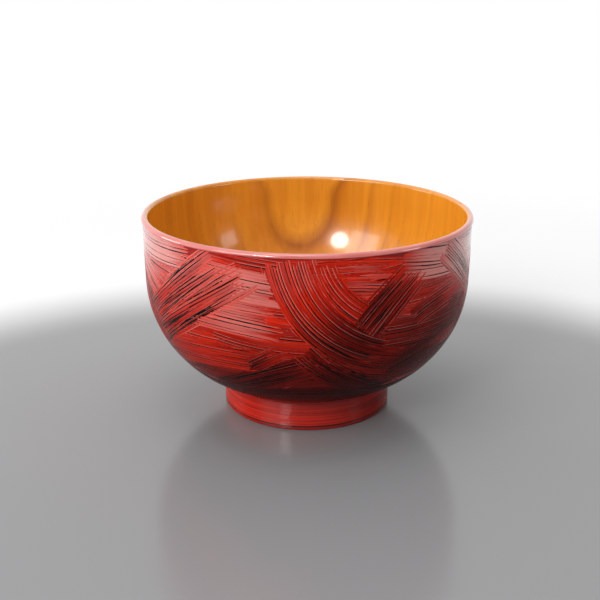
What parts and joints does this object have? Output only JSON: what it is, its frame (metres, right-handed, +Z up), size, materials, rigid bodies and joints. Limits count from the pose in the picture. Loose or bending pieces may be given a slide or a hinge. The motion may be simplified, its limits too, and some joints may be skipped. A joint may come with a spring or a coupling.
{
  "type": "soup bowl",
  "caption": "Round turned wooden soup bowl on a foot ring, red lacquer brushed over black outside, a smooth red rim, and clear amber lacquer over the wood grain inside.",
  "frame": {"origin": "centre of the foot ring's resting face", "axes": "+Z up the axis of turning, towards the mouth; -Y is the side that faces the viewer"},
  "size_m": [0.115, 0.115, 0.071],
  "materials": {
    "bare_wood": "turned smooth, unfinished under the coats",
    "black_lacquer": "glossy black lacquer",
    "brushed_red_lacquer": "glossy red lacquer with raised brush marks",
    "smooth_red_lacquer": "smooth glossy red lacquer",
    "amber_lacquer": "clear amber lacquer over wood grain",
    "foot_red_lacquer": "glossy red lacquer with marks running round the ring",
    "recess_lacquer": "satin dark red lacquer"
  },
  "bodies": {
    "root": {"wood_core": "bare_wood", "black_undercoat": "black_lacquer", "brushed_red_coat": "brushed_red_lacquer", "rim_band": "smooth_red_lacquer", "inside_lining": "amber_lacquer", "foot_coat": "foot_red_lacquer", "recess_coat": "recess_lacquer"}
  },
  "joints": []
}
